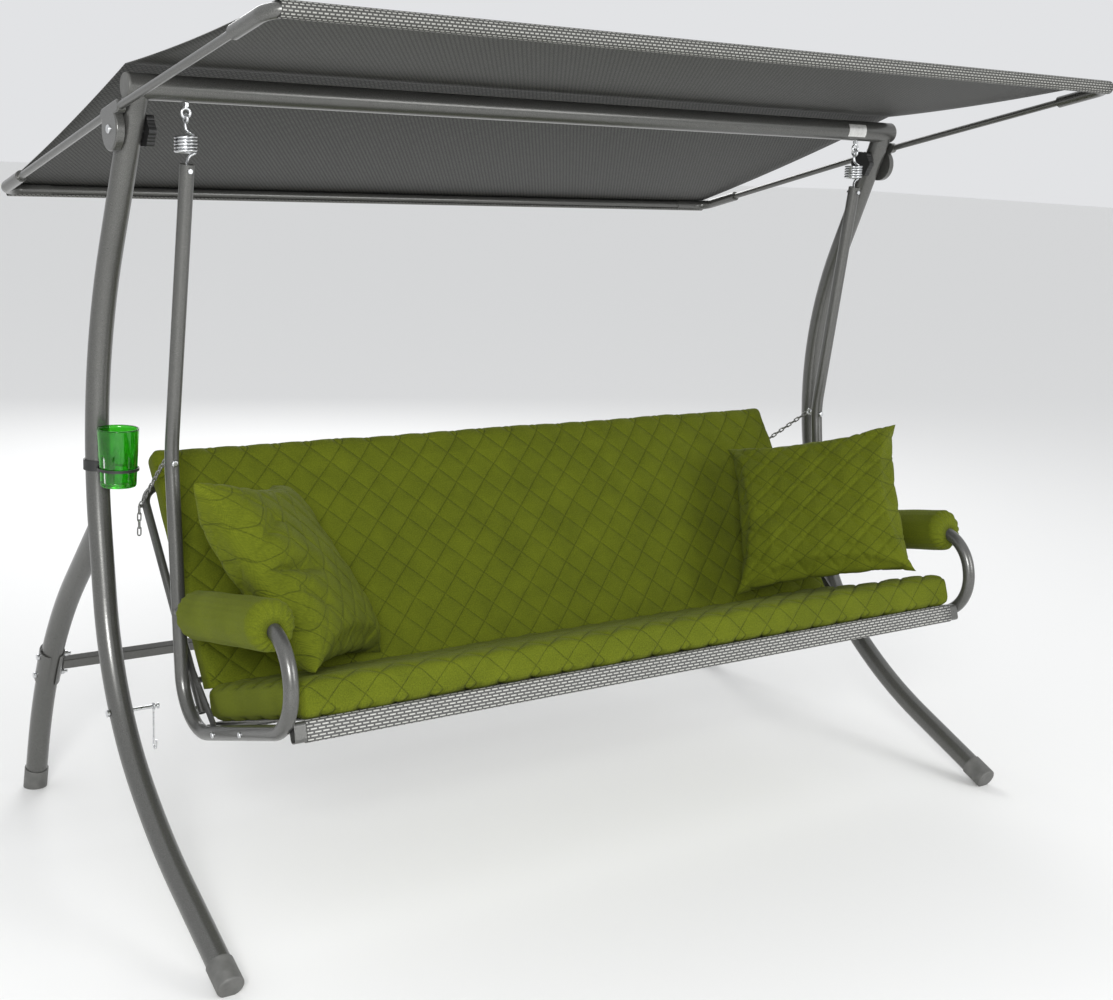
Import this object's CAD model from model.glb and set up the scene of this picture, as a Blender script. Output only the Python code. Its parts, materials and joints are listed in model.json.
"""Looks of a canopy swing bench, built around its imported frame. Metres, +Z up, +X to the right-hand end."""
import json
from math import atan2, cos, degrees, pi, radians, sin

import bmesh
import bpy
import numpy as np
from mathutils import Matrix, Vector


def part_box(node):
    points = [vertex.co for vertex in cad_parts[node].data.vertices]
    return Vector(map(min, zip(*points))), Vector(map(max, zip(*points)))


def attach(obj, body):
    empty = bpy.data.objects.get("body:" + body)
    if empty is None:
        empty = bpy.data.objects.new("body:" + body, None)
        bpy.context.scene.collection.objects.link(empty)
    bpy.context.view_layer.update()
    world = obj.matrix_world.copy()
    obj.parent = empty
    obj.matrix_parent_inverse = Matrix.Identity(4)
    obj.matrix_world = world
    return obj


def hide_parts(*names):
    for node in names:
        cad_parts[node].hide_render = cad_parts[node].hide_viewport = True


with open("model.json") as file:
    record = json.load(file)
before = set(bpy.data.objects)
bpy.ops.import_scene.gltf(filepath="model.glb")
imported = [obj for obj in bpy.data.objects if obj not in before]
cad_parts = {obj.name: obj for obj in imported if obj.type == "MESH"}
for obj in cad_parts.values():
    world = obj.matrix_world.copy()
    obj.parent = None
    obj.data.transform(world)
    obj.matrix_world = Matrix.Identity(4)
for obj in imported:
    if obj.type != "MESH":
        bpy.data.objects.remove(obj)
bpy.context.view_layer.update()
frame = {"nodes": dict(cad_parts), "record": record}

# ---- driving sizes, the same as the frame's ----
BAR_Y = -0.043
BAR_TOP = 1.697
RIDGE_RISE = 0.0145
ROD_Y = 0.733
FRONT_ROD_Z = 1.790
REAR_ROD_Z = 1.433
SLEEVE_R = 0.0146
FABRIC_HALF = 1.055
SEAT_SLOPE = radians(18.4)
SEAT_FRONT = Vector((0, BAR_Y - 0.495, 0.506))
SEAT_HALF = 0.903
SEAT_RAIL = (0.022, 0.040)
SEAT_DEPTH = 0.455
REAR_RAIL_R = 0.010
CUSHION = (2 * SEAT_HALF, 0.484, 0.074)
BACK_FACE_LOW = Vector((0, BAR_Y - 0.058, 0.443))
BACK_FACE_TOP = Vector((0, BAR_Y + 0.272, 0.900))
BACK_HALF = 0.905
BACK_THICK = 0.060
HINGE = Vector((0, BAR_Y - 0.012, 0.380))
FRAME_TOP = Vector((0, BAR_Y + 0.335, 0.790))
HANG_X = 0.930
ROLL_START = Vector((0, BAR_Y - 0.490, 0.692))
ROLL_WAY = Vector((0, 0.502, -0.103)).normalized()
ROLL_FROM = 0.044
ROLL_LENGTH = 0.400
ROLL_R = 0.054
ARM_BEND = (0.0982, 0.101)     # where the armrest tube starts to bend down, and how tightly
ARM_TUBE_R = 0.0155
PILLOW = 0.48
DIAMOND = 0.080        # quilting: corner to corner of a diamond
CLOTH_FRAMES = 20


# ================= camera, light and floor =================
def look_from(place, turn, down, roll):
    """Matrix of a camera turned left from +Y, tipped down and rolled, all in degrees."""
    turn, down, roll = radians(turn), radians(down), radians(roll)
    ahead = Vector((-sin(turn) * cos(down), cos(turn) * cos(down), -sin(down)))
    level = Vector((cos(turn), sin(turn), 0))
    above = level.cross(ahead)
    right = cos(roll) * level + sin(roll) * above
    up = -sin(roll) * level + cos(roll) * above
    return Matrix.Translation(place) @ Matrix((right, up, -ahead)).transposed().to_4x4()


camera_data = bpy.data.cameras.new("camera")
camera_data.sensor_width = 36
camera_data.lens = 52.79
camera_data.shift_x = -0.0273
camera_data.shift_y = -0.0471
camera_data.clip_end = 200
camera = bpy.data.objects.new("camera", camera_data)
camera.matrix_world = look_from(Vector((-2.2085, -3.2119, 1.5972)), -36.047, 10.449, 2.756)
bpy.context.scene.collection.objects.link(camera)
bpy.context.scene.camera = camera


def area_light(name, place, aim, size, watts):
    """A soft square light at a place, pointed at another."""
    data = bpy.data.lights.new(name, "AREA")
    data.size = size
    data.energy = watts
    lamp = bpy.data.objects.new(name, data)
    lamp.location = place
    lamp.rotation_euler = (Vector(aim) - Vector(place)).to_track_quat("-Z", "Y").to_euler()
    bpy.context.scene.collection.objects.link(lamp)


area_light("key", (-3.2, -4.4, 2.6), (0, 0, 0.8), 1.4, 190)
area_light("fill", (2.6, -5.0, 2.4), (0, 0, 0.9), 2.2, 90)
area_light("rim", (1.5, 4.5, 3.2), (0, 0, 1.0), 2.5, 90)
bpy.context.scene.view_settings.view_transform = "Standard"
world = bpy.data.worlds.new("studio")
world.use_nodes = True
world.node_tree.nodes["Background"].inputs["Color"].default_value = (0.95, 0.96, 0.98, 1)
world.node_tree.nodes["Background"].inputs["Strength"].default_value = 0.8
bpy.context.scene.world = world


# ================= materials =================
class Shader:
    """A node material, with short ways to add the nodes that the materials below share."""

    def __init__(self, name, colour, roughness, metallic=0.0):
        self.material = bpy.data.materials.new(name)
        self.material.use_nodes = True
        self.nodes = self.material.node_tree.nodes
        self.links = self.material.node_tree.links
        self.surface = self.nodes["Principled BSDF"]
        self.surface.inputs["Base Color"].default_value = (*colour, 1)
        self.surface.inputs["Roughness"].default_value = roughness
        self.surface.inputs["Metallic"].default_value = metallic
        self.coordinates = self.nodes.new("ShaderNodeTexCoord")

    def add(self, kind, links=(), **values):
        """A node with its sockets set by name, and linked from (socket name, source socket) pairs."""
        node = self.nodes.new(kind)
        for name, value in values.items():
            socket = name.replace("_", " ")
            if socket in node.inputs:
                node.inputs[socket].default_value = value
            else:
                setattr(node, name, value)
        for name, source in links:
            self.links.new(source, node.inputs[name])
        return node

    def noise(self, scale, detail=3.0, space="Object"):
        """A noise field of so many cells a metre."""
        vector = self.coordinates.outputs[space]
        return self.add("ShaderNodeTexNoise", [("Vector", vector)], Scale=scale, Detail=detail).outputs["Fac"]

    def sum(self, first, second, operation="ADD"):
        """Two fields added, multiplied or otherwise joined; either may be a plain number."""
        node = self.nodes.new("ShaderNodeMath")
        node.operation = operation
        for socket, value in zip(node.inputs, (first, second)):
            if isinstance(value, (int, float)):
                socket.default_value = value
            else:
                self.links.new(value, socket)
        return node.outputs[0]

    def ramp(self, factor, stops):
        """A colour that follows a field through (place, colour) stops."""
        node = self.add("ShaderNodeValToRGB", [("Fac", factor)])
        band = node.color_ramp
        while len(band.elements) < len(stops):
            band.elements.new(0.5)
        for element, (place, colour) in zip(band.elements, stops):
            element.position = place
            element.color = (*colour, 1)
        return node.outputs["Color"]

    def colour(self, source):
        """Links a field of colour to the surface."""
        self.links.new(source, self.surface.inputs["Base Color"])

    def roughness(self, factor, low, high):
        """Roughness that follows a field between two values."""
        node = self.add("ShaderNodeMapRange", [("Value", factor)], To_Min=low, To_Max=high)
        self.links.new(node.outputs["Result"], self.surface.inputs["Roughness"])

    def bump(self, height, distance, strength=1.0):
        """A bump of so many metres from a field of height."""
        node = self.add("ShaderNodeBump", [("Height", height)], Distance=distance, Strength=strength)
        self.links.new(node.outputs["Normal"], self.surface.inputs["Normal"])

    def wave(self, across, period, space="UV"):
        """A sine from 0 to 1 that repeats every so many metres along one axis."""
        parts = self.add("ShaderNodeSeparateXYZ", [("Vector", self.coordinates.outputs[space])])
        turns = self.sum(parts.outputs[across], 2 * pi / period, "MULTIPLY")
        node = self.nodes.new("ShaderNodeMath")
        node.operation = "SINE"
        self.links.new(turns, node.inputs[0])
        return self.sum(self.sum(node.outputs[0], 0.5, "MULTIPLY"), 0.5)


def frame_paint():
    """Dark silver-grey hammered powder coat."""
    shader = Shader("frame_paint", (0.11, 0.11, 0.105), 0.3, 0.55)
    fleck = shader.noise(420, 2)
    shader.colour(shader.ramp(shader.noise(900, 1), [(0.35, (0.085, 0.085, 0.080)), (0.6, (0.12, 0.12, 0.113)),
                                                     (0.78, (0.19, 0.19, 0.183))]))
    shader.roughness(fleck, 0.22, 0.40)
    shader.surface.inputs["Coat Weight"].default_value = 0.35
    shader.surface.inputs["Coat Roughness"].default_value = 0.12
    shader.bump(fleck, 0.0002, 0.5)
    return shader.material


def zinc_steel(name, colour, rough):
    """Zinc-plated steel with a faint cloudy lustre."""
    shader = Shader(name, colour, rough, 1.0)
    cloud = shader.noise(160, 4)
    shader.colour(shader.ramp(cloud, [(0.3, tuple(0.84 * c for c in colour)), (0.7, tuple(1.12 * c for c in colour))]))
    shader.roughness(cloud, rough - 0.08, rough + 0.12)
    shader.bump(shader.noise(900, 2), 0.0001, 0.4)
    return shader.material


def moulded_plastic(name, colour, roughness):
    """Moulded plastic with a fine eroded skin."""
    shader = Shader(name, colour, roughness)
    grain = shader.noise(1400, 2)
    shader.colour(shader.ramp(shader.noise(40, 3), [(0.3, colour), (0.75, tuple(1.5 * c + 0.004 for c in colour))]))
    shader.roughness(grain, roughness - 0.08, roughness + 0.1)
    shader.bump(grain, 0.00015, 0.5)
    return shader.material


def dashed_mesh(name, lit, ground, width=0.017, row=0.0065, gap=0.0022):
    """Coated outdoor mesh: a woven ground with rows of dashes, each row half a step on from the last."""
    shader = Shader(name, ground, 0.6)
    brick = shader.add("ShaderNodeTexBrick", [("Vector", shader.coordinates.outputs["UV"])], Scale=1.0,
                       Mortar_Size=gap, Mortar_Smooth=0.25, Brick_Width=width, Row_Height=row)
    brick.inputs["Color1"].default_value = (*lit, 1)
    brick.inputs["Color2"].default_value = (*(0.8 * c for c in lit), 1)
    brick.inputs["Mortar"].default_value = (*ground, 1)
    weave = shader.sum(shader.wave("X", 0.0016), shader.wave("Y", 0.0016), "MULTIPLY")
    mix = shader.nodes.new("ShaderNodeMix")
    mix.data_type = "RGBA"
    mix.blend_type = "MULTIPLY"
    mix.inputs["Factor"].default_value = 0.5
    colours = [socket for socket in mix.inputs if socket.type == "RGBA"]
    shader.links.new(brick.outputs["Color"], colours[0])
    shader.links.new(shader.ramp(weave, [(0.0, (0.3, 0.3, 0.3)), (0.6, (1, 1, 1))]), colours[1])
    shader.colour(next(socket for socket in mix.outputs if socket.type == "RGBA"))
    shader.bump(shader.sum(shader.sum(weave, 0.4, "MULTIPLY"), brick.outputs["Fac"], "SUBTRACT"), 0.0006, 0.6)
    return shader.material


def cushion_cloth(name, quilted):
    """Olive green outdoor cloth: plain weave, melange tone, a soft sheen, and the sewn lines where it is quilted."""
    shader = Shader(name, (0.16, 0.20, 0.012), 0.9)
    weave = shader.sum(shader.wave("X", 0.0011), shader.wave("Y", 0.0011), "MULTIPLY")
    slub = shader.noise(330, 4, "UV")
    tone = shader.sum(shader.sum(shader.sum(slub, 0.55, "MULTIPLY"), shader.sum(weave, 0.2, "MULTIPLY")),
                      shader.sum(shader.noise(14, 4), 0.25, "MULTIPLY"))
    if quilted:
        parts = shader.add("ShaderNodeSeparateXYZ", [("Vector", shader.coordinates.outputs["UV"])])
        nearest = []
        for way in ("ADD", "SUBTRACT"):
            steps = shader.sum(shader.sum(parts.outputs["X"], parts.outputs["Y"], way), 1 / DIAMOND, "MULTIPLY")
            nearest.append(shader.sum(steps, 0.5, "PINGPONG"))
        line = shader.add("ShaderNodeMapRange", [("Value", shader.sum(*nearest, "MINIMUM"))], From_Min=0.006,
                          From_Max=0.030, To_Min=1.0, To_Max=0.0).outputs["Result"]
        tone = shader.sum(tone, shader.sum(line, 0.17, "MULTIPLY"), "SUBTRACT")
        slub = shader.sum(slub, shader.sum(line, 2.0, "MULTIPLY"), "SUBTRACT")
    shader.colour(shader.ramp(tone, [(0.15, (0.026, 0.032, 0.002)), (0.30, (0.062, 0.077, 0.002)),
                                     (0.48, (0.100, 0.122, 0.004)), (0.65, (0.134, 0.158, 0.006)),
                                     (0.85, (0.190, 0.210, 0.014))]))
    shader.surface.inputs["Sheen Weight"].default_value = 0.06
    shader.surface.inputs["Sheen Roughness"].default_value = 0.5
    shader.surface.inputs["Sheen Tint"].default_value = (0.7, 0.8, 0.25, 1)
    shader.surface.inputs["Specular IOR Level"].default_value = 0.2
    shader.bump(shader.sum(shader.sum(weave, 0.5, "MULTIPLY"), slub), 0.0005, 0.75)
    return shader.material


def silver_label():
    """A blank silver foil label."""
    shader = Shader("silver_label", (0.72, 0.72, 0.70), 0.35, 0.5)
    cloud = shader.noise(120, 2)
    shader.colour(shader.ramp(cloud, [(0.3, (0.62, 0.62, 0.60)), (0.7, (0.78, 0.78, 0.76))]))
    shader.roughness(cloud, 0.28, 0.42)
    shader.bump(cloud, 0.0001, 0.3)
    return shader.material


def tumbler_plastic():
    """Clear green moulded plastic."""
    shader = Shader("tumbler_plastic", (0.03, 0.55, 0.05), 0.08)
    cloud = shader.noise(60, 2)
    shader.colour(shader.ramp(cloud, [(0.3, (0.03, 0.42, 0.015)), (0.7, (0.07, 0.55, 0.03))]))
    shader.roughness(cloud, 0.04, 0.14)
    shader.surface.inputs["Transmission Weight"].default_value = 0.88
    shader.surface.inputs["IOR"].default_value = 1.46
    shader.bump(shader.noise(90, 2), 0.0003, 0.2)
    return shader.material


MATERIALS = {
    "frame_paint": frame_paint(),
    "zinc_steel": zinc_steel("zinc_steel", (0.66, 0.67, 0.68), 0.28),
    "black_plastic": moulded_plastic("black_plastic", (0.012, 0.012, 0.012), 0.42),
    "grey_plastic": moulded_plastic("grey_plastic", (0.085, 0.085, 0.080), 0.5),
    "canopy_cloth": dashed_mesh("canopy_outside", (0.42, 0.42, 0.39), (0.045, 0.045, 0.041), 0.0105, 0.0058, 0.0018),
    "seat_sling": dashed_mesh("seat_sling", (0.62, 0.62, 0.58), (0.085, 0.085, 0.082)),
    "cushion_cloth": cushion_cloth("cushion_quilted", True),
    "silver_label": silver_label(),
    "tumbler_plastic": tumbler_plastic(),
}
CANOPY_INSIDE = dashed_mesh("canopy_inside", (0.110, 0.111, 0.098), (0.010, 0.010, 0.009), 0.0105, 0.0078, 0.0023)
PLAIN_CLOTH = cushion_cloth("cushion_plain", False)
CHAIN_STEEL = zinc_steel("chain_steel", (0.30, 0.30, 0.29), 0.38)
for entry in frame["record"]["subparts"]:
    for material_slot in frame["nodes"][entry["node"]].material_slots:
        chain = "chain" in entry["node"]
        material_slot.material = CHAIN_STEEL if chain else MATERIALS[entry["material_slot"]]


# ================= mesh helpers =================
def new_piece(name, vertices, faces, slot):
    """A mesh object in the row frame with its slot's material."""
    mesh = bpy.data.meshes.new(name)
    mesh.from_pydata([tuple(v) for v in vertices], [], faces)
    mesh.validate()
    piece = bpy.data.objects.new(name, mesh)
    bpy.context.scene.collection.objects.link(piece)
    mesh.materials.append(MATERIALS[slot])
    mesh.shade_smooth()
    return piece


def points_of(mesh):
    """The mesh's points as rows of an array."""
    flat = np.empty(3 * len(mesh.vertices))
    mesh.vertices.foreach_get("co", flat)
    return flat.reshape(-1, 3)


def normals_of(mesh):
    """The mesh's point normals as rows of an array."""
    flat = np.empty(3 * len(mesh.vertices))
    mesh.vertices.foreach_get("normal", flat)
    return flat.reshape(-1, 3)


def set_points(mesh, points):
    """Writes the mesh's points back."""
    mesh.vertices.foreach_set("co", np.asarray(points, dtype=float).ravel())
    mesh.update()


def bake(piece, kind, **values):
    """Adds one modifier, takes its result into the mesh and drops it."""
    modifier = piece.modifiers.new(kind.lower(), kind)
    for name, value in values.items():
        setattr(modifier, name, value)
    result = bpy.data.meshes.new_from_object(piece.evaluated_get(bpy.context.evaluated_depsgraph_get()))
    piece.modifiers.clear()
    old = piece.data
    piece.data = result
    bpy.data.meshes.remove(old)


def cloth_uv(mesh, thick=0.0):
    """Cloth coordinates in metres: across, and along the large faces and round onto the long edges.
    The end panels of a boxed piece get their own plain cloth."""
    layer = mesh.uv_layers.new(name="cloth")
    points = points_of(mesh)
    flat = np.stack([points[:, 0], points[:, 1] + points[:, 2] - thick / 2], axis=1)
    ends = np.stack([points[:, 1], points[:, 2]], axis=1)
    loops = np.empty(len(mesh.loops), dtype=np.int64)
    mesh.loops.foreach_get("vertex_index", loops)
    sizes = np.empty(len(mesh.polygons), dtype=np.int64)
    mesh.polygons.foreach_get("loop_total", sizes)
    normals = np.empty(3 * len(mesh.polygons))
    mesh.polygons.foreach_get("normal", normals)
    end_face = (np.abs(normals.reshape(-1, 3)[:, 0]) > 0.8) & (thick > 0)
    picked = np.where(np.repeat(end_face, sizes)[:, None], ends[loops], flat[loops])
    layer.data.foreach_set("uv", picked.ravel())
    if thick:
        mesh.materials.append(PLAIN_CLOTH)
        mesh.polygons.foreach_set("material_index", end_face.astype(np.int32))


def ripple(points, length, seed):
    """A smooth uneven field between about -1 and 1, with bumps of about the given length."""
    chance = np.random.default_rng(seed)
    total = np.zeros(len(points))
    for _ in range(9):
        way = chance.normal(size=3)
        way *= 2 * pi / (length * chance.uniform(0.7, 1.6) * np.linalg.norm(way))
        total += np.sin(points @ way + chance.uniform(0, 2 * pi))
    return total / 4.5


def inflate(piece, pressure, cap, stiffness=12):
    """Cloth simulation under inner pressure, with each point's travel capped, taken into the mesh."""
    mesh = piece.data
    start = points_of(mesh)
    cloth = piece.modifiers.new("cloth", "CLOTH")
    settings = cloth.settings
    settings.quality = 4
    settings.mass = 0.3
    settings.tension_stiffness = stiffness
    settings.compression_stiffness = stiffness
    settings.shear_stiffness = stiffness / 3
    settings.bending_stiffness = 0.3
    settings.use_pressure = True
    settings.uniform_pressure_force = pressure
    settings.effector_weights.gravity = 0
    cloth.point_cache.frame_start = 1
    cloth.point_cache.frame_end = CLOTH_FRAMES
    scene = bpy.context.scene
    for number in range(1, CLOTH_FRAMES + 1):
        scene.frame_set(number)
    swollen = points_of(piece.evaluated_get(bpy.context.evaluated_depsgraph_get()).data)
    piece.modifiers.clear()
    scene.frame_set(1)
    travel = swollen - start
    size = np.linalg.norm(travel, axis=1, keepdims=True)
    set_points(mesh, start + travel * np.minimum(1, cap / np.maximum(size, 1e-9)))


def channel(distance, width):
    """How far down a sewn channel a point is, from 1 in the stitch line to 0 away from it."""
    return np.exp(-(distance / width) ** 2)


def diamonds(across, along, step):
    """Distance to the nearest of two sets of slanting stitch lines."""
    first = (across + along) / step
    second = (across - along) / step
    spread = step / 2 ** 0.5
    return np.minimum(np.abs(first - np.round(first)), np.abs(second - np.round(second))) * spread


def quilt(mesh, depth, puff, thick=0.0, reach=1.0):
    """Presses slanting stitch lines into the cloth, all but its end panels, and puffs what lies between them."""
    points = points_of(mesh)
    normals = normals_of(mesh)
    facing = np.clip((0.8 - np.abs(normals[:, 0])) / 0.3, 0, 1) if thick else 1.0
    gap = diamonds(points[:, 0], points[:, 1] + points[:, 2] - thick / 2 if thick else points[:, 1], DIAMOND)
    flat = np.clip((np.abs(normals[:, 2]) - 0.3) / 0.4, 0.35, 1) if thick else 1.0
    move = reach * facing * flat * (puff * (1 - channel(gap, 0.018)) - depth * channel(gap, 0.0040))
    set_points(mesh, points + normals * np.reshape(move, (-1, 1)))


def rounded_box(name, size, radius, slot):
    """A closed box about the origin with rounded edges."""
    mesh = bpy.data.meshes.new(name)
    shape = bmesh.new()
    bmesh.ops.create_cube(shape, size=1)
    bmesh.ops.scale(shape, vec=size, verts=shape.verts)
    bmesh.ops.bevel(shape, geom=shape.edges[:], offset=radius, segments=5, affect="EDGES", profile=0.5)
    shape.to_mesh(mesh)
    shape.free()
    piece = bpy.data.objects.new(name, mesh)
    bpy.context.scene.collection.objects.link(piece)
    mesh.materials.append(MATERIALS[slot])
    return piece


# ================= cushions =================
def sewn_ends(mesh, half_long):
    """The seams that join a boxed cushion's end panels to its long faces."""
    points = points_of(mesh)
    normals = normals_of(mesh)
    gap = np.abs(half_long - 0.010 - np.abs(points[:, 0]))
    level = np.clip((0.9 - np.abs(normals[:, 0])) / 0.4, 0, 1)
    set_points(mesh, points - normals * (level * 0.0024 * channel(gap, 0.0035))[:, None])


def boxed_cushion(name, size, placement, seed, rests_on=None):
    """A long boxed and quilted cushion, swollen by simulation and set in its place.
    Where it rests on a plane, given by a point, the way out and the way to yield, it is pressed flat."""
    start = [length - 0.006 for length in size]
    cushion = rounded_box(name, start, 0.015, "cushion_cloth")
    bake(cushion, "REMESH", mode="VOXEL", voxel_size=0.007)
    inflate(cushion, 4, 0.006)
    bake(cushion, "SMOOTH", factor=0.5, iterations=1)
    bake(cushion, "SUBSURF", levels=1)
    points = points_of(cushion.data)
    sag = 0.0018 * ripple(points, 0.24, seed) + 0.0008 * ripple(points, 0.08, seed + 1)
    set_points(cushion.data, points + normals_of(cushion.data) * sag[:, None])
    sewn_ends(cushion.data, size[0] / 2)
    cloth_uv(cushion.data, size[2])
    quilt(cushion.data, 0.0030, 0.0022, size[2])
    cushion.data.shade_smooth()
    cushion.data.transform(placement)
    if rests_on:
        point, outward, way = (np.array(vector) for vector in rests_on)
        points = points_of(cushion.data)
        sunk = np.minimum(0, (points - point) @ outward)
        set_points(cushion.data, points - np.outer(sunk / (way @ outward), way))
    return cushion


def plane_matrix(origin, across, along):
    """Placement whose local X and Y run along two given directions."""
    outward = across.cross(along)
    return Matrix.Translation(origin) @ Matrix((across, along, outward)).transposed().to_4x4()


RIGHT = Vector((1, 0, 0))
seat_way = Vector((0, cos(SEAT_SLOPE), -sin(SEAT_SLOPE)))
seat_up = RIGHT.cross(seat_way)
seat_middle = SEAT_FRONT + seat_way * (CUSHION[1] / 2 - 0.012) + seat_up * (CUSHION[2] / 2 + 0.0006)
seat_cushion = boxed_cushion("seat_cushion_quilted", CUSHION, plane_matrix(seat_middle, RIGHT, seat_way), 3)
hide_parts("seat_cushion")
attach(seat_cushion, "bench")

back_way = (BACK_FACE_TOP - BACK_FACE_LOW).normalized()
back_length = (BACK_FACE_TOP - BACK_FACE_LOW).length + 0.060
back_middle = BACK_FACE_TOP - back_way * back_length / 2 - RIGHT.cross(back_way) * BACK_THICK / 2
seat_top = SEAT_FRONT + seat_up * (CUSHION[2] - 0.0035)
back_cushion = boxed_cushion("back_cushion_quilted", (2 * BACK_HALF, back_length, BACK_THICK),
                             plane_matrix(back_middle, RIGHT, back_way), 11, (seat_top, seat_up, back_way))
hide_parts("back_cushion")
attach(back_cushion, "backrest")


# ================= pillows =================
def pillow_shell(name, size, thick, cells):
    """Two square panels sewn round their edge, bellied between them, with drawn-in sides and pointed corners."""
    steps = [2 * number / cells - 1 for number in range(cells + 1)]
    vertices = []
    index = {}
    for side in (1, -1):
        for row, t in enumerate(steps):
            for column, s in enumerate(steps):
                edge = abs(s) == 1 or abs(t) == 1
                if edge and side == -1:
                    index[side, row, column] = index[1, row, column]
                    continue
                index[side, row, column] = len(vertices)
                belly = ((1 - s * s) * (1 - t * t)) ** 0.42
                x = s * size / 2 * (1 - 0.055 * (1 - t * t))
                y = t * size / 2 * (1 - 0.055 * (1 - s * s))
                vertices.append((x, y, side * belly * thick / 2))
    faces = []
    for side in (1, -1):
        for row in range(cells):
            for column in range(cells):
                corners = [index[side, row, column], index[side, row, column + 1],
                           index[side, row + 1, column + 1], index[side, row + 1, column]]
                faces.append(corners if side == 1 else corners[::-1])
    return new_piece(name, vertices, faces, "cushion_cloth")


def crease(mesh, start, end, depth, width):
    """A fold pressed into the front panel along a line that fades at both ends."""
    points = points_of(mesh)
    start, end = np.array(start), np.array(end)
    way = end - start
    along = np.clip(((points[:, :2] - start) @ way) / (way @ way), 0, 1)
    off = np.linalg.norm(points[:, :2] - start - along[:, None] * way, axis=1)
    fade = np.sin(pi * np.clip(along * 0.94 + 0.03, 0, 1)) ** 0.6
    front = (points[:, 2] > 0) * 1.0
    points[:, 2] -= front * depth * fade * channel(off, width)
    set_points(mesh, points)


def pillow(side, middle, turn, lean, spin, thick, creases, seed):
    """One loose pillow, turned about the upright, leaned back and spun in its own plane, in degrees."""
    piece = pillow_shell(f"{side}_pillow_quilted", PILLOW, thick, 72)
    for start, end, depth, width in creases:
        crease(piece.data, start, end, depth, width)
    inflate(piece, 3.2, 0.022, 8)
    bake(piece, "SUBSURF", levels=1)
    points = points_of(piece.data)
    slack = 0.0030 * ripple(points, 0.16, seed) + 0.0011 * ripple(points, 0.05, seed + 1)
    inside = np.clip((PILLOW / 2 - np.abs(points[:, :2]).max(axis=1)) / 0.05, 0, 1)
    set_points(piece.data, points + normals_of(piece.data) * (slack * inside)[:, None])
    cloth_uv(piece.data)
    quilt(piece.data, 0.0026, 0.0018, reach=inside)
    pose = (Matrix.Translation(middle) @ Matrix.Rotation(radians(turn), 4, "Z")
            @ Matrix.Rotation(radians(90 - lean), 4, "X") @ Matrix.Rotation(radians(-spin), 4, "Z"))
    piece.data.transform(pose)
    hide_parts(f"{side}_pillow")
    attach(piece, f"{side}_pillow")
    return piece


pillow("left", Vector((-0.738, BAR_Y - 0.115, 0.684)), 54, 38, 15, 0.115,
       [((-0.22, 0.0), (-0.05, -0.03), 0.030, 0.020), ((-0.20, 0.06), (-0.08, 0.10), 0.014, 0.012),
        ((-0.19, -0.05), (-0.09, -0.12), 0.012, 0.012)], 21)
pillow("right", Vector((0.718, BAR_Y - 0.178, 0.704)), -58, 43, -18, 0.080,
       [((-0.20, -0.05), (-0.06, -0.02), 0.006, 0.018)], 31)


# ================= armrest bolsters =================
def drop(place):
    """How far the bending armrest tube has sunk below the bolster's middle line at a place along it."""
    past = max(0.0, ARM_BEND[0] - ROLL_FROM - place)
    return ARM_BEND[1] - (ARM_BEND[1] ** 2 - past ** 2) ** 0.5


def bolster(side, sx):
    """A stuffed sleeve round the armrest tube, its ends gathered on elastic."""
    turns, runs = 168, 84
    start = Vector((sx * HANG_X, ROLL_START.y, ROLL_START.z)) + ROLL_WAY * ROLL_FROM
    upright = RIGHT.cross(ROLL_WAY)
    vertices = []
    for run in range(runs + 1):
        part = run / runs
        bend = min(part, 1 - part)
        rise = min(1, bend / 0.085)
        shape = (1 - (1 - rise) ** 2) ** 0.5
        inner = ARM_TUBE_R + 0.0012
        reach = inner + (ROLL_R - 0.0015 - inner) * shape
        place = part * ROLL_LENGTH + 0.006 * (1 - rise) * (1 if part < 0.5 else -1)
        for turn in range(turns):
            angle = 2 * pi * turn / turns
            gather = max(0.0, 1 - rise * 0.9) * min(1, 2.5 * shape)
            pleat = 0.0030 * gather * sin(17 * angle + 1.6 * sin(3 * angle + sx))
            soft = 0.0012 * sin(2 * angle + 9 * part) * sin(7 * part + angle) * rise
            radius = max(inner, reach + pleat + soft - 0.0010)
            around = RIGHT * (radius * cos(angle)) + upright * (radius * sin(angle) - drop(place) * (1 - shape))
            vertices.append(start + ROLL_WAY * place + around)
    faces = []
    for run in range(runs):
        for turn in range(turns):
            following = (turn + 1) % turns
            faces.append([run * turns + turn, run * turns + following,
                          (run + 1) * turns + following, (run + 1) * turns + turn])
    first = len(vertices)
    for end in (runs, 0):
        for turn in range(turns):
            angle = 2 * pi * turn / turns
            around = RIGHT * cos(angle) + upright * sin(angle)
            depth = 0.014 if end == 0 else ROLL_LENGTH - 0.014
            vertices.append(start + ROLL_WAY * depth + around * (ARM_TUBE_R + 0.0004) - upright * drop(depth))
    for turn in range(turns):
        following = (turn + 1) % turns
        faces.append([runs * turns + turn, runs * turns + following, first + following, first + turn])
        faces.append([first + turn, first + following, first + turns + following, first + turns + turn])
        faces.append([first + turns + turn, first + turns + following, following, turn])
    roll = new_piece(f"{side}_arm_bolster", vertices, faces, "cushion_cloth")
    roll.data.materials[0] = PLAIN_CLOTH
    layer = roll.data.uv_layers.new(name="cloth")
    for polygon in roll.data.polygons:
        for loop in polygon.loop_indices:
            number = roll.data.loops[loop].vertex_index
            turn = number % turns
            if turn == 0 and max(roll.data.loops[n].vertex_index % turns for n in polygon.loop_indices) > 1:
                turn = turns
            layer.data[loop].uv = (2 * pi * ROLL_R * turn / turns, ROLL_LENGTH * (number // turns) / runs)
    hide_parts(f"{side}_arm_roll")
    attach(roll, "bench")


bolster("left", -1)
bolster("right", 1)


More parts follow.
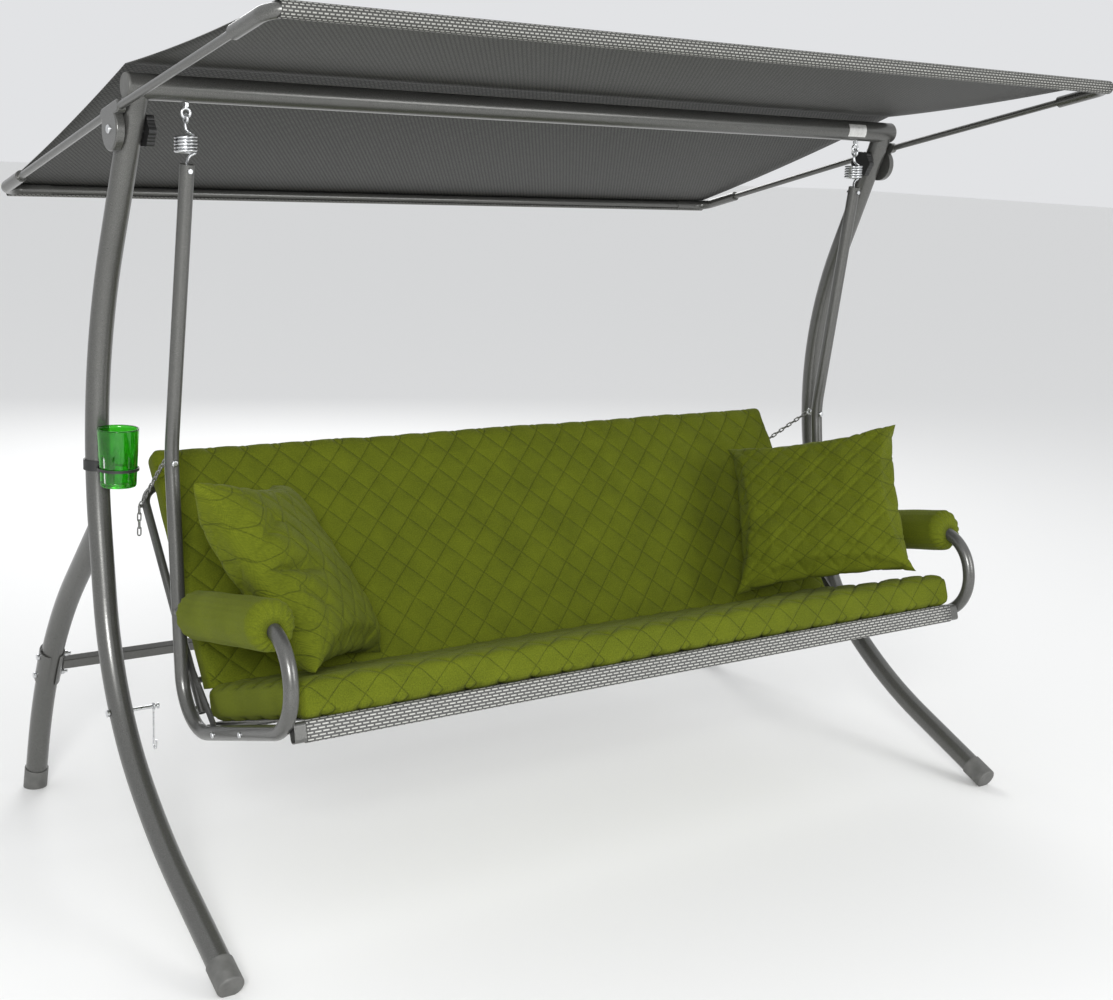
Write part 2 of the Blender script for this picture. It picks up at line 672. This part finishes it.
# ================= sheets =================
def arc(centre, radius, start, end, count=10):
    """Points of an arc in the sheet's section, angles in degrees."""
    angles = [radians(start + (end - start) * number / count) for number in range(count + 1)]
    return [(centre[0] + radius * cos(a), centre[1] + radius * sin(a)) for a in angles]


def run(start, end, count, sag=0.0):
    """Points of a straight or slightly sagging run in the sheet's section, without its two ends."""
    points = []
    for number in range(1, count):
        part = number / count
        points.append((start[0] + (end[0] - start[0]) * part,
                       start[1] + (end[1] - start[1]) * part - sag * 4 * part * (1 - part)))
    return points


def sheet(name, section, half, place, slot, columns, waist=0.0, inside=None):
    """A sheet of cloth that holds one section all along X, with a waist drawn in at its sides."""
    lengths = [0.0]
    for first, second in zip(section, section[1:]):
        lengths.append(lengths[-1] + Vector((second[0] - first[0], second[1] - first[1])).length)
    vertices = []
    flat = []
    for (a, b), length in zip(section, lengths):
        width = half - waist * sin(pi * length / lengths[-1])
        for column in range(columns + 1):
            x = width * (2 * column / columns - 1)
            vertices.append(place(x, a, b))
            flat.append((x, length))
    wide = columns + 1
    faces = [[row * wide + c, row * wide + c + 1, (row + 1) * wide + c + 1, (row + 1) * wide + c]
             for row in range(len(section) - 1) for c in range(columns)]
    piece = new_piece(name, vertices, faces, slot)
    layer = piece.data.uv_layers.new(name="cloth")
    for loop in piece.data.loops:
        layer.data[loop.index].uv = flat[loop.vertex_index]
    thickness = piece.modifiers.new("thickness", "SOLIDIFY")
    thickness.thickness = 0.0012
    thickness.offset = 0
    if inside:
        piece.data.materials.append(inside)
        thickness.material_offset = 1
    return piece, lengths[-1]


def tangent_angle(first, second):
    """Direction in degrees from one section point to another."""
    return degrees(atan2(second[1] - first[1], second[0] - first[0]))


front_rod = (-ROD_Y, FRONT_ROD_Z)
rear_rod = (ROD_Y, REAR_ROD_Z)
ridge = (BAR_Y, BAR_TOP + RIDGE_RISE - 0.024)
front_slope = tangent_angle(front_rod, ridge)
rear_slope = tangent_angle(ridge, rear_rod)
front_wrap = arc(front_rod, SLEEVE_R, front_slope - 60, front_slope - 270, 22)
ridge_wrap = arc(ridge, 0.026, front_slope + 90, rear_slope + 90, 8)
rear_wrap = arc(rear_rod, SLEEVE_R, rear_slope + 90, rear_slope - 120, 22)
canopy_section = (front_wrap + run(front_wrap[-1], ridge_wrap[0], 24, 0.007) + ridge_wrap
                  + run(ridge_wrap[-1], rear_wrap[0], 26, 0.007) + rear_wrap)
canopy, canopy_length = sheet("canopy_sheet", canopy_section, FABRIC_HALF, lambda x, a, b: (x, a, b),
                              "canopy_cloth", 72, 0.004, CANOPY_INSIDE)
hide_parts("canopy_fabric")
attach(canopy, "canopy")

rail_w, rail_h = SEAT_RAIL[0] / 2 + 0.0012, SEAT_RAIL[1] / 2 + 0.0012
rail_at = (0.011, -0.022)
corner = 0.0085


def rail_corner(sx, sy, start):
    """One rounded corner of the sleeve round the front rail."""
    centre = (rail_at[0] + sx * (rail_w - corner), rail_at[1] + sy * (rail_h - corner))
    return arc(centre, corner, start, start - 90, 6)


rear_rail = (SEAT_DEPTH, -0.013)
seat_rear_wrap = arc(rear_rail, REAR_RAIL_R + 0.0014, 90, -120, 16)
seat_section = ([(0.034, -0.040)] + rail_corner(1, -1, 0) + rail_corner(-1, -1, -90) + rail_corner(-1, 1, 180)
                + run(rail_corner(-1, 1, 180)[-1], seat_rear_wrap[0], 20, 0.0) + seat_rear_wrap)
seat_mesh, seat_mesh_length = sheet(
    "seat_sling", seat_section, 0.889,
    lambda x, a, b: RIGHT * x + SEAT_FRONT + seat_way * a + seat_up * b, "seat_sling", 40)
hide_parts("seat_mesh")
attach(seat_mesh, "bench")

frame_way = (FRAME_TOP - HINGE).normalized()
frame_length = (FRAME_TOP - HINGE).length
frame_behind = -RIGHT.cross(frame_way)
low_wrap = arc((0.062, 0), 0.0084, -100, -270, 14)
top_wrap = arc((frame_length, 0), 0.0109, 90, -100, 16)
back_section = low_wrap + run(low_wrap[-1], top_wrap[0], 20) + top_wrap
back_mesh, back_mesh_length = sheet(
    "backrest_sling", back_section, 0.845,
    lambda x, a, b: RIGHT * x + HINGE + frame_way * a + frame_behind * b, "seat_sling", 40)
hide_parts("backrest_mesh")
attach(back_mesh, "backrest")


# ================= springs =================
def spring(side, sx):
    """A close-wound extension spring with an eye at each end."""
    x, top_eye, low_eye, middle = sx * HANG_X, 1.6139, 1.5116, 1.563
    low_y = BAR_Y - 0.008
    eye_r, coil_r, turns = 0.0085, 0.0207, 5
    pitch = 0.0066
    low = middle - turns * pitch / 2
    points = [(x + eye_r * sin(a), low_y, low_eye - eye_r * cos(a))
              for a in (2 * pi * n / 20 - 0.82 * pi for n in range(19))]
    points += [(x, low_y + 0.004, low_eye + eye_r + 0.005), (x + 0.006, BAR_Y, low - 0.006)]
    for number in range(24 * turns + 1):
        angle = 2 * pi * number / 24
        points.append((x + coil_r * cos(angle), BAR_Y + coil_r * sin(angle), low + pitch * number / 24))
    high = middle + turns * pitch / 2
    points += [(x + 0.010, BAR_Y + 0.002, high + 0.006), (x, BAR_Y, high + 0.011)]
    points += [(x, BAR_Y + eye_r * sin(a), top_eye - eye_r * cos(a)) for a in (2 * pi * n / 20 for n in range(1, 20))]
    curve = bpy.data.curves.new(f"{side}_coil_spring", "CURVE")
    curve.dimensions = "3D"
    curve.bevel_depth = 0.00305
    curve.bevel_resolution = 4
    curve.use_fill_caps = True
    line = curve.splines.new("NURBS")
    line.points.add(len(points) - 1)
    for point, place in zip(line.points, points):
        point.co = (*place, 1)
    line.order_u = 3
    line.use_endpoint_u = True
    coil = bpy.data.objects.new(f"{side}_coil_spring", curve)
    bpy.context.scene.collection.objects.link(coil)
    curve.materials.append(MATERIALS["zinc_steel"])
    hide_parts(f"{side}_spring")
    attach(coil, "suspension")


spring("left", -1)
spring("right", 1)


# ================= tumbler =================
def tumbler():
    """A fluted drinking tumbler with a plain rim band and a thick base."""
    low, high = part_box("tumbler")
    middle = Vector(((low[0] + high[0]) / 2, (low[1] + high[1]) / 2, low[2]))
    height = high[2] - low[2]
    base_r, rim_r, wall, turns = 0.0375, 0.0435, 0.0028, 192
    rows = []
    for number in range(41):
        part = number / 40
        radius = base_r + (rim_r - base_r) * part
        flute = part
        rows.append((part * height, radius, flute))
    rows[0] = (0, base_r - 0.0015, 1)
    rows.append((height, rim_r - wall / 2, 1))
    for number in range(21):
        part = 1 - number / 20
        radius = base_r + (rim_r - base_r) * (0.07 + 0.93 * part) - wall
        rows.append((0.008 + (height - 0.008) * part - (0.0006 if number == 0 else 0), radius, 1))
    vertices = []
    for z, radius, flute in rows:
        for turn in range(turns):
            angle = 2 * pi * turn / turns
            hollow = abs(sin(4.5 * angle))
            arch = min(1, max(0, (0.42 + 0.16 * (1 - hollow) - flute) / 0.02))
            r = radius - 0.0042 * arch * (1 - hollow ** 0.7)
            vertices.append(middle + Vector((r * cos(angle), r * sin(angle), z)))
    faces = []
    for row in range(len(rows) - 1):
        for turn in range(turns):
            following = (turn + 1) % turns
            faces.append([row * turns + turn, row * turns + following,
                          (row + 1) * turns + following, (row + 1) * turns + turn])
    faces.append(list(range(turns))[::-1])
    faces.append(list(range((len(rows) - 1) * turns, len(rows) * turns)))
    glass = new_piece("fluted_tumbler", vertices, faces, "tumbler_plastic")
    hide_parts("tumbler")
    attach(glass, "tumbler")


tumbler()

# ================= floor =================
floor_mesh = bpy.data.meshes.new("floor")
reach = 60
floor_mesh.from_pydata([(-reach, -reach, 0), (reach, -reach, 0), (reach, reach, 0), (-reach, reach, 0)], [], [[0, 1, 2, 3]])
floor = bpy.data.objects.new("floor", floor_mesh)
bpy.context.scene.collection.objects.link(floor)
floor_shader = Shader("floor", (0.86, 0.86, 0.85), 0.75)
floor_mesh.materials.append(floor_shader.material)
